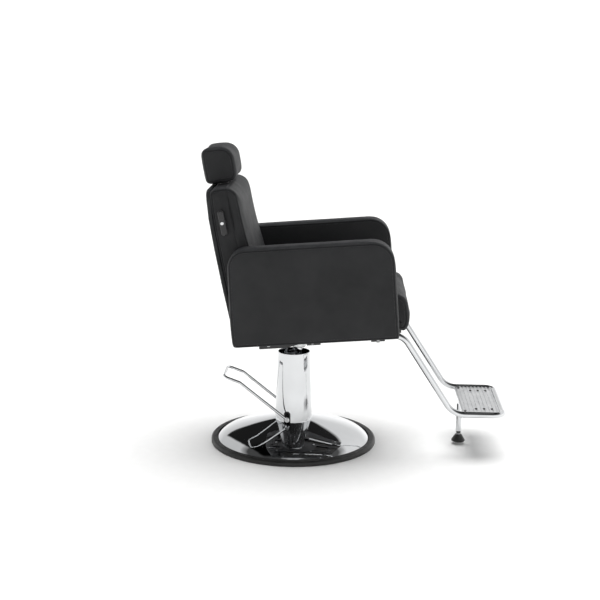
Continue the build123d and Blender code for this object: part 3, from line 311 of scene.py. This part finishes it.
def pillow(name, corners, low, high, locate, seam=0.011, edge=(0.0075, 0.010), groove=0.0022,
           step=0.008):
    """Closed padded form: an outline drawn out from low to high, with a sewn seam on each face.

    Returns the object, "pin", which is 1 on its seams, and "rows", the vertex rings where
    stitches go.  The mesh attribute "wear" marks its rounded edges, which get a lighter colour
    for scuffing and as a painted highlight.
    """
    half, flat = side_profile(high - low, seam, edge, groove, step)
    stations = [(inset, low + depth, inset - seam) for inset, depth in half]
    stations += [(inset, low + depth, -depth) for inset, depth in flat]
    stations += [(inset, high - depth, inset - seam) for inset, depth in reversed(half)]
    sides = outline_sides(corners, seam)
    lengths = [sum((b - a).length for a, b in zip(s, s[1:])) for s in sides]
    across = max(2, round(max(lengths[0], lengths[2]) / step))
    along = max(2, round(max(lengths[1], lengths[3]) / step))
    counts = (across, along, across, along)
    loop = 2 * (across + along)
    flat_points, rings = [], []
    for inset, depth, _ in stations:
        ring = np.vstack([even_points(s, n) for s, n in zip(outline_sides(corners, inset), counts)])
        rings.append(list(range(len(flat_points), len(flat_points) + loop)))
        flat_points += [(a, b, depth) for a, b in ring]
    faces = []
    for near, far in zip(rings, rings[1:]):
        faces += [(near[i], near[(i + 1) % loop], far[(i + 1) % loop], far[i]) for i in range(loop)]
    for ring in (rings[0], rings[-1]):
        grid = {}
        bottom = [ring[i] for i in range(across + 1)]
        right = [ring[across + j] for j in range(along + 1)]
        top = [ring[(2 * across + along - i) % loop] for i in range(across + 1)]
        left = [ring[-j % loop] for j in range(along + 1)]
        where = np.array(flat_points)
        for i in range(across + 1):
            for j in range(along + 1):
                u, v = i / across, j / along
                if j == 0 or j == along:
                    grid[i, j] = (bottom if j == 0 else top)[i]
                elif i == 0 or i == across:
                    grid[i, j] = (left if i == 0 else right)[j]
                else:
                    point = ((1 - v) * where[bottom[i]] + v * where[top[i]] + (1 - u) * where[left[j]]
                             + u * where[right[j]] - (1 - u) * (1 - v) * where[bottom[0]]
                             - u * (1 - v) * where[bottom[-1]] - (1 - u) * v * where[top[0]]
                             - u * v * where[top[-1]])
                    grid[i, j] = len(flat_points)
                    flat_points.append(tuple(point))
        faces += [(grid[i, j], grid[i + 1, j], grid[i + 1, j + 1], grid[i, j + 1])
                  for i in range(across) for j in range(along)]
    mesh = bpy.data.meshes.new(name)
    mesh.from_pydata([locate(*p) for p in flat_points], [], faces)
    shape = bmesh.new()
    shape.from_mesh(mesh)
    bmesh.ops.recalc_face_normals(shape, faces=shape.faces)
    shape.to_mesh(mesh)
    shape.free()
    obj = bpy.data.objects.new(name, mesh)
    bpy.context.scene.collection.objects.link(obj)
    mesh.materials.append(VINYL)
    mesh.polygons.foreach_set("use_smooth", [True] * len(mesh.polygons))
    pin, wear_and_highlight = np.zeros(len(mesh.vertices)), np.zeros(len(mesh.vertices))
    for (inset, _, beyond), ring in zip(stations, rings):
        sewn = -0.003 < beyond < 0.006 and inset > 0
        pin[ring] = 1.0 if sewn else 0.0
        # Peaks on the rounded edge; the lighter colour there is partly scuffing, partly a painted highlight.
        wear_and_highlight[ring] = max(0.0, 1 - abs(inset - 0.35 * edge[0]) / edge[0]) if inset < seam else 0.0
    mesh.attributes.new("wear_and_highlight", "FLOAT", "POINT").data.foreach_set("value", wear_and_highlight.astype(np.float32))
    sewn_rows = [k for k, s in enumerate(stations) if abs(s[0] - seam - STITCH_INSET) < 1e-6]
    return {"object": obj, "pin": pin, "rows": [rings[k] for k in sewn_rows]}


def positions(mesh):
    """Vertex positions as an array."""
    co = np.zeros(len(mesh.vertices) * 3)
    mesh.vertices.foreach_get("co", co)
    return co.reshape(-1, 3)


def normals(mesh):
    """Vertex normals as an array."""
    out = np.zeros(len(mesh.vertices) * 3)
    mesh.vertex_normals.foreach_get("vector", out)
    return out.reshape(-1, 3)


def seam_distance(pad):
    """Distance of each vertex from the nearest sewn or held vertex."""
    co = positions(pad["object"].data)
    held = np.flatnonzero(pad["pin"] > 0.5)
    tree = kdtree.KDTree(len(held))
    for k, index in enumerate(held):
        tree.insert(co[index], k)
    tree.balance()
    return np.array([tree.find(p)[2] for p in co])


CLOTH_STEPS = 20
CLOTH_PRESSURE = 4


def inflate(pads):
    """Blow every pad up as cloth between its seams, each point no further than the pad's cap."""
    scene = bpy.context.scene
    for pad in pads:
        obj = pad["object"]
        pad["distance"] = seam_distance(pad)
        group = obj.vertex_groups.new(name="pin")
        for index in np.flatnonzero(pad["pin"] > 0.5):
            group.add([int(index)], 1.0, "REPLACE")
        cloth = obj.modifiers.new("Cloth", "CLOTH")
        settings = cloth.settings
        settings.quality = 4
        settings.mass = 0.25
        settings.tension_stiffness = settings.compression_stiffness = 12
        settings.shear_stiffness = 4
        settings.bending_stiffness = 1.2
        settings.use_pressure = True
        settings.uniform_pressure_force = CLOTH_PRESSURE
        settings.effector_weights.gravity = 0
        settings.vertex_group_mass = "pin"
        cloth.collision_settings.use_collision = False
        cloth.point_cache.frame_start, cloth.point_cache.frame_end = 1, CLOTH_STEPS
    for step in range(1, CLOTH_STEPS + 1):
        scene.frame_set(step)
    depsgraph = bpy.context.evaluated_depsgraph_get()
    for pad in pads:
        obj, cap = pad["object"], pad["cap"]
        rest = positions(obj.data)
        blown = obj.evaluated_get(depsgraph).to_mesh()
        move = positions(blown) - rest
        obj.evaluated_get(depsgraph).to_mesh_clear()
        size = np.linalg.norm(move, axis=1)
        scale = cap * np.tanh(size / cap) / np.maximum(size, 1e-9)
        co = rest + move * (scale * (pad["pin"] < 0.5))[:, None]
        obj.data.vertices.foreach_set("co", co.ravel())
        obj.data.update()
    for pad in pads:
        obj = pad["object"]
        for modifier in list(obj.modifiers):
            obj.modifiers.remove(modifier)
        obj.vertex_groups.clear()
    scene.frame_set(1)


def pucker(pad, height=0.0006, wave=0.016, reach=0.022):
    """Small gathers that fade away from the seams."""
    obj = pad["object"]
    co, facing = positions(obj.data), normals(obj.data)
    near = np.exp(-pad["distance"] / reach) * (pad["pin"] < 0.5)
    ripple = np.array([noise.noise(Vector(p) / wave) for p in co])
    broad = np.array([noise.noise(Vector(p) / 0.11) for p in co])
    lift = height * ripple * near + 0.0007 * broad * (1 - near) * (pad["pin"] < 0.5)
    obj.data.vertices.foreach_set("co", (co + facing * lift[:, None]).ravel())
    obj.data.update()


def hold_where(pad, test):
    """Hold the vertices whose place in the frame passes the test."""
    for index, vertex in enumerate(pad["object"].data.vertices):
        if test(vertex.co):
            pad["pin"][index] = 1.0


def in_seat(point):
    """(forward, up) of a point of the frame."""
    return (-point.y * cos(SEAT_TILT) + point.z * sin(SEAT_TILT),
            point.y * sin(SEAT_TILT) + point.z * cos(SEAT_TILT))


def smooth_loop(points, count):
    """Points of a closed Catmull-Rom curve through the given ones."""
    n = len(points)
    out = []
    for k in range(count):
        at = k * n / count
        i = int(at)
        t = at - i
        p0, p1, p2, p3 = points[i - 1], points[i], points[(i + 1) % n], points[(i + 2) % n]
        out.append(0.5 * (2 * p1 + (p2 - p0) * t + (2 * p0 - 5 * p1 + 4 * p2 - p3) * t * t
                          + (3 * p1 - p0 - 3 * p2 + p3) * t ** 3))
    return out


def stitches(name, pad, body, pitch=0.0045, length=0.0032, radius=0.00042):
    """Thread stitches along the pad's seams, each a small bent capsule."""
    mesh = pad["object"].data
    co, facing = positions(mesh), normals(mesh)
    vertices, faces = [], []
    for row in pad["rows"]:
        line = [Vector(co[i]) for i in row]
        girth = sum((line[i] - line[i - 1]).length for i in range(len(line)))
        count = int(girth / pitch)
        spots = smooth_loop(line, count)
        outward = smooth_loop([Vector(facing[i]) for i in row], count)
        for i in range(count):
            ahead = (spots[(i + 1) % count] - spots[i - 1]).normalized()
            up = outward[i].normalized()
            side = ahead.cross(up).normalized()
            first = len(vertices)
            for along, thick, rise in ((-0.5, 0.45, -0.35), (-0.2, 1.0, 0.45), (0.2, 1.0, 0.45),
                                       (0.5, 0.45, -0.35)):
                middle = spots[i] + ahead * along * length + up * rise * radius
                for k in range(5):
                    turn = 2 * pi * k / 5
                    vertices.append(middle + (side * cos(turn) + up * sin(turn)) * radius * thick)
            for ring in range(3):
                for k in range(5):
                    a, b = first + 5 * ring + k, first + 5 * ring + (k + 1) % 5
                    faces.append((a, b, b + 5, a + 5))
            faces.append(tuple(first + 4 - k for k in range(5)))
            faces.append(tuple(first + 15 + k for k in range(5)))
    sewn = bpy.data.meshes.new(name)
    sewn.from_pydata(vertices, [], faces)
    sewn.polygons.foreach_set("use_smooth", [True] * len(sewn.polygons))
    sewn.materials.append(THREAD)
    obj = bpy.data.objects.new(name, sewn)
    bpy.context.scene.collection.objects.link(obj)
    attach(obj, body)
    return obj


def side_place(width=None):
    """Outline in seat coordinates, drawn out along X; width narrows it with height."""
    def locate(forward, up, x):
        return seat_point(forward, up, x * (width(up) if width else 1.0))
    return locate


ARM_OUTLINE = ((-0.162, 0.4357, 0.010, True), (0.4050, 0.4350, 0.005, True),
               (0.4045, 0.772, 0.074, True), (-0.156, 0.772, 0.060, True),
               (-0.164, 0.526, None, False))
SEAT_OUTLINE = ((-0.036, 0.4512, 0.010, True), (0.400, 0.4512, None, False),
                (0.427, 0.4385, 0.010, True), (0.4440, 0.466, None, False),
                (0.4450, 0.512, None, False), (0.4415, 0.5705, 0.036, True),
                (-0.036, 0.569, 0.014, True))
BACK_OUTLINE = ((-0.171, 0.442, 0.062, True), (-0.046, 0.442, 0.062, True),
                (-0.0465, 0.506, None, False), (-0.0535, 0.620, None, False),
                (-0.0715, 0.715, None, False), (-0.0915, 0.806, None, False),
                (-0.1055, 0.896, None, False), (-0.1150, 0.975, 0.045, True),
                (-0.165, 0.9740, None, False), (-0.2090, 0.9690, 0.018, True),
                (-0.2035, 0.870, None, False), (-0.1925, 0.763, None, False),
                (-0.1765, 0.636, None, False), (-0.1610, 0.532, None, False),
                (-0.1710, 0.5055, 0.004, False))
HEAD_OUTLINE = ((-0.2305, 0.9735, 0.015, True), (-0.1195, 0.9860, 0.026, True),
                (-0.1300, 1.1035, 0.047, True), (-0.2425, 1.1000, 0.022, True))
PANEL_OUTLINE = ((-0.2225, 0.513, 0.010, True), (0.2225, 0.513, 0.010, True),
                 (0.2225, 0.968, 0.038, True), (-0.2225, 0.968, 0.038, True))
REAR_EDGE = ((0.505, -0.1700), (0.512, -0.171), (0.636, -0.189), (0.763, -0.205), (0.870, -0.216),
             (0.957, -0.2185), (0.975, -0.2180))


# Distances from the middle: the back's and the headrest's CAD sides, then the faces of the
# arm covers and the sides of the other covers before they are blown up.
BACK_HALF, HEAD_HALF = 0.224, 0.110
ARM_INNER, ARM_OUTER = 0.2305, 0.3085
SEAT_COVER_HALF, BACK_COVER_HALF, HEAD_COVER_HALF = 0.2235, 0.2225, 0.1085


def back_width(up):
    """Share of the back's full width left by its round top corners."""
    corner, top = 0.042, 0.988
    over = max(0.0, up - (top - corner))
    return (BACK_HALF - corner + sqrt(max(corner ** 2 - over ** 2, 0.0))) / BACK_HALF


def head_width(up):
    """Share of the headrest's full width left by its round corners."""
    corner, middle, half_height = 0.024, 1.0415, 0.070
    over = max(0.0, abs(up - middle) - (half_height - corner))
    return (HEAD_HALF - corner + sqrt(max(corner ** 2 - over ** 2, 0.0))) / HEAD_HALF


def panel_place(x, up, depth):
    """Rear panel: an outline seen from behind, bent to the back's rear curve."""
    ups, forwards = zip(*REAR_EDGE)
    return seat_point(float(np.interp(up, ups, forwards)) + depth, up, x)


def make_pads():
    """The six covers by name, before they are blown up."""
    pads = {}
    for side, word in ((1, "left"), (-1, "right")):
        low, high = sorted((side * ARM_INNER, side * ARM_OUTER))
        pads[f"arm_cover_{word}"] = pillow(f"arm_cover_{word}", ARM_OUTLINE, low, high, side_place(),
                                           seam=0.0065, edge=(0.0045, 0.008))
    pads["seat_cover"] = pillow("seat_cover", SEAT_OUTLINE, -SEAT_COVER_HALF, SEAT_COVER_HALF,
                                side_place(), seam=0.012, edge=(0.008, 0.010), step=0.009)
    pads["back_cover"] = pillow("back_cover", BACK_OUTLINE, -BACK_COVER_HALF, BACK_COVER_HALF,
                                side_place(back_width), seam=0.0065, edge=(0.0055, 0.008), step=0.009)
    pads["back_panel_cover"] = pillow("back_panel_cover", PANEL_OUTLINE, -0.0025, 0.0125,
                                      panel_place, seam=0.007, edge=(0.0035, 0.0045),
                                      groove=0.0016, step=0.009)
    pads["headrest_cover"] = pillow("headrest_cover", HEAD_OUTLINE, -HEAD_COVER_HALF,
                                    HEAD_COVER_HALF, side_place(head_width), seam=0.009, edge=(0.008, 0.010),
                                    step=0.007)
    return pads


PADS = make_pads()
# Each cover's body, the CAD solid it stands for, how far it may swell, and its fill.
FACTS = {
    "arm_cover_left": ("seat", "arm_pad_left", 0.0030, 0.9),
    "arm_cover_right": ("seat", "arm_pad_right", 0.0030, 0.9),
    "seat_cover": ("seat", "seat_cushion", 0.0090, 0.8),
    "back_cover": ("back", "back_cushion", 0.0070, 0.8),
    "back_panel_cover": ("back", "back_panel", 0.0025, 0.95),
    "headrest_cover": ("headrest", "headrest_pad", 0.0055, 0.85),
}
for pad_name, (_, _, cap, _) in FACTS.items():
    PADS[pad_name]["cap"] = cap
# These faces are held, so that they don't swell: the undersides of the arms and the seat, the
# rear and top of the back, and the front of the rear panel.
for word in ("left", "right"):
    hold_where(PADS[f"arm_cover_{word}"], lambda p: in_seat(p)[1] < 0.440)
hold_where(PADS["seat_cover"], lambda p: in_seat(p)[1] < 0.4525 and in_seat(p)[0] < 0.41)
hold_where(PADS["back_cover"],
           lambda p: in_seat(p)[0] < float(np.interp(in_seat(p)[1], *zip(*REAR_EDGE))) + 0.018)
hold_where(PADS["back_cover"], lambda p: in_seat(p)[1] > 0.972)
hold_where(PADS["back_panel_cover"],
           lambda p: in_seat(p)[0] > float(np.interp(in_seat(p)[1], *zip(*REAR_EDGE))) + 0.012)
inflate(list(PADS.values()))

for pad_name, (body, solid, _, fill) in FACTS.items():
    pad = PADS[pad_name]
    pucker(pad)
    stitches(pad_name.replace("_cover", "") + "_stitches", pad, body)
    cover = pad["object"]
    detail = cover.modifiers.new("Subdivision", "SUBSURF")
    detail.levels = detail.render_levels = 1
    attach(cover, body)
    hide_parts(solid)


# ---------------------------------------------------------------- small parts


def hard_piece(name, vertices, faces, material, body):
    """Closed smooth-shaded mesh that rides on a body."""
    mesh = bpy.data.meshes.new(name)
    mesh.from_pydata(vertices, [], faces)
    shape = bmesh.new()
    shape.from_mesh(mesh)
    bmesh.ops.recalc_face_normals(shape, faces=shape.faces)
    shape.to_mesh(mesh)
    shape.free()
    mesh.polygons.foreach_set("use_smooth", [True] * len(mesh.polygons))
    mesh.materials.append(material)
    obj = bpy.data.objects.new(name, mesh)
    bpy.context.scene.collection.objects.link(obj)
    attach(obj, body)
    return obj


def turned(name, profile, at, axis, material, body, segments=40):
    """Part turned on a lathe: (radius, height) pairs about an axis through a point."""
    axis = Vector(axis).normalized()
    side = axis.orthogonal().normalized()
    other = axis.cross(side)
    vertices, faces = [], []
    for radius, height in profile:
        for k in range(segments):
            turn = 2 * pi * k / segments
            vertices.append(Vector(at) + axis * height + (side * cos(turn) + other * sin(turn)) * radius)
    rows = len(profile)
    for r in range(rows):
        for k in range(segments):
            a, b = r * segments, (r + 1) % rows * segments
            faces.append((a + k, a + (k + 1) % segments, b + (k + 1) % segments, b + k))
    return hard_piece(name, vertices, faces, material, body)


def wound(name, at, height, turns, radius, wire, material, body):
    """Open coil of round wire, wound up from a point."""
    steps, sides = round(28 * turns), 10
    rise = height / (2 * pi * turns * radius)
    vertices, faces = [], []
    for k in range(steps + 1):
        turn = 2 * pi * turns * k / steps
        out = Vector((cos(turn), sin(turn), 0))
        over = out.cross(Vector((-sin(turn), cos(turn), rise)).normalized())
        centre = Vector(at) + out * radius + Vector((0, 0, height * k / steps))
        for j in range(sides):
            angle = 2 * pi * j / sides
            vertices.append(centre + (out * cos(angle) + over * sin(angle)) * wire)
    for k in range(steps):
        a, b = k * sides, (k + 1) * sides
        faces += [(a + j, a + (j + 1) % sides, b + (j + 1) % sides, b + j) for j in range(sides)]
    faces += [tuple(range(sides)), tuple(range(steps * sides, (steps + 1) * sides))]
    return hard_piece(name, vertices, faces, material, body)


POST_LEAN = radians(5)
POST_AXIS = Vector((0, sin(SEAT_TILT + POST_LEAN), cos(SEAT_TILT + POST_LEAN)))
POST_APART = 0.060  # from the middle to each post
POST_FORWARD, POST_FORWARD_UP = -0.178, 1.048  # a point on the posts' lines, seen from the side
BACK_TOP_UP = 0.974  # height at which the guides sit
GUIDE_PROFILE = ((0.0066, -0.006), (0.0066, 0.0042), (0.0074, 0.0052), (0.0125, 0.0046),
                 (0.0158, 0.0026), (0.0164, -0.001), (0.0164, -0.006))
for word, x in (("left", POST_APART), ("right", -POST_APART)):
    foot = seat_point(POST_FORWARD + (POST_FORWARD_UP - BACK_TOP_UP) * tan(POST_LEAN), BACK_TOP_UP, x)
    turned(f"post_guide_{word}", GUIDE_PROFILE, foot, POST_AXIS, PLASTIC, "back")


spring_low, spring_high = (Vector(corner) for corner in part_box("plunger_spring"))
spring_length = spring_high.z - spring_low.z
spring_wire, spring_radius, spring_turns = 0.0009, 0.0084, 3.5
spring_foot = Vector(((spring_low.x + spring_high.x) / 2, (spring_low.y + spring_high.y) / 2,
                      spring_low.z))
spring = wound("return_spring", spring_foot + Vector((0, 0, spring_wire)),
               spring_length - 2 * spring_wire, spring_turns, spring_radius, spring_wire, STEEL,
               "base")
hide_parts("plunger_spring")
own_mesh(spring)


# ---------------------------------------------------------------- floor, light and camera


def floor():
    """Wide pale floor."""
    mesh = bpy.data.meshes.new("floor")
    reach = 40.0
    mesh.from_pydata([(-reach, -reach, 0), (reach, -reach, 0), (reach, reach, 0), (-reach, reach, 0)],
                     [], [(0, 1, 2, 3)])
    mesh.materials.append(finish_as(
        "studio_floor", painted_nodes((0.90, 0.90, 0.895), (0.92, 0.92, 0.915), 60.0, 0.0001,
                                      (0.65, 0.75)), Specular_IOR_Level=0.15))
    obj = bpy.data.objects.new("floor", mesh)
    bpy.context.scene.collection.objects.link(obj)


def world():
    """Studio: white walls, a dark ceiling with a lighter middle, dim high at -X, black high at +X."""
    sky = bpy.data.worlds.new("studio")
    bpy.context.scene.world = sky
    sky.use_nodes = True
    tree = sky.node_tree
    ways = add(tree, "ShaderNodeSeparateXYZ",
               {"Vector": add(tree, "ShaderNodeTexCoord").outputs["Generated"]}).outputs

    def ramp(value, start, end, first, last):
        return add(tree, "ShaderNodeMapRange", {"Value": value, "From Min": start, "From Max": end,
                                                "To Min": first, "To Max": last}).outputs["Result"]

    def times(one, other):
        return add(tree, "ShaderNodeMath", {0: one, 1: other}, operation="MULTIPLY").outputs[0]

    def less(share):
        return add(tree, "ShaderNodeMath", {0: 1.0, 1: share}, operation="SUBTRACT").outputs[0]

    walls = times(ramp(ways["Z"], 0.04, 0.30, 1.25, 0.85), ramp(ways["Y"], -0.5, 0.3, 1.15, 0.85))
    walls = add(tree, "ShaderNodeMath", {0: walls, 1: ramp(ways["Z"], 0.02, 0.06, 1.25, 0.0)},
                operation="MAXIMUM").outputs[0]
    roof_start = ramp(ways["X"], -0.2, 0.1, 0.50, 0.70)
    roof = add(tree, "ShaderNodeMath", {0: ways["Z"], 1: roof_start}, operation="SUBTRACT")
    ceiling = ramp(roof.outputs[0], 0.0, 0.10, 1.0, 0.10)
    ceiling = add(tree, "ShaderNodeMath", {0: ceiling, 1: ramp(ways["Z"], 0.975, 0.985, 0.0, 0.6)},
                  operation="MAXIMUM").outputs[0]
    dim_side = times(ramp(ways["X"], -0.7, 0.0, 0.7, 0.0), ramp(ways["Z"], 0.15, 0.35, 0.0, 1.0))
    front_edge = add(tree, "ShaderNodeMath", {0: ways["Z"], 1: 0.8, 2: ways["Y"]},
                     operation="MULTIPLY_ADD").outputs[0]
    gap = times(ramp(ways["Z"], 0.32, 0.35, 0.0, 1.0), ramp(ways["Y"], 0.40, 0.44, 1.0, 0.0))
    gap = times(gap, ramp(front_edge, 0.23, 0.27, 0.0, 1.0))
    black_side = times(times(gap, ramp(ways["X"], -0.10, 0.05, 0.0, 1.0)), 0.98)
    light = times(times(walls, ceiling), times(less(dim_side), less(black_side)))
    background = tree.nodes["Background"]
    background.inputs["Color"].default_value = (1, 1, 1, 1)
    tree.links.new(light, background.inputs["Strength"])


def overhead(power, spread):
    """Wide soft light from above, a little from the front and from the sitter's left."""
    data = bpy.data.lights.new("overhead", "SUN")
    data.energy = power
    data.angle = spread
    obj = bpy.data.objects.new("overhead", data)
    obj.location = (0.45, -0.25, 3)
    obj.rotation_euler = obj.location.to_track_quat("Z", "Y").to_euler()
    obj.visible_glossy = False
    bpy.context.scene.collection.objects.link(obj)


def camera():
    """Camera on the sitter's right, higher than the headrest and looking a little down."""
    data = bpy.data.cameras.new("camera")
    data.sensor_width = 36.0
    data.lens = 74.561
    data.clip_end = 200.0
    pan, pitch, roll = radians(2.2706), radians(12.0577), 0.011167
    ahead = Vector((cos(pitch) * cos(pan), cos(pitch) * sin(pan), -sin(pitch)))
    right = ahead.cross(Vector((0, 0, 1))).normalized()
    up = right.cross(ahead)
    right, up = right * cos(roll) + up * sin(roll), up * cos(roll) - right * sin(roll)
    turn = Matrix((right, up, -ahead)).transposed().to_4x4()
    obj = bpy.data.objects.new("camera", data)
    obj.matrix_world = Matrix.Translation((-4.3933, -0.1937, 1.4684)) @ turn
    bpy.context.scene.collection.objects.link(obj)
    bpy.context.scene.camera = obj


floor()
world()
overhead(3.4, radians(55))
camera()
bpy.context.scene.view_settings.view_transform = "Standard"
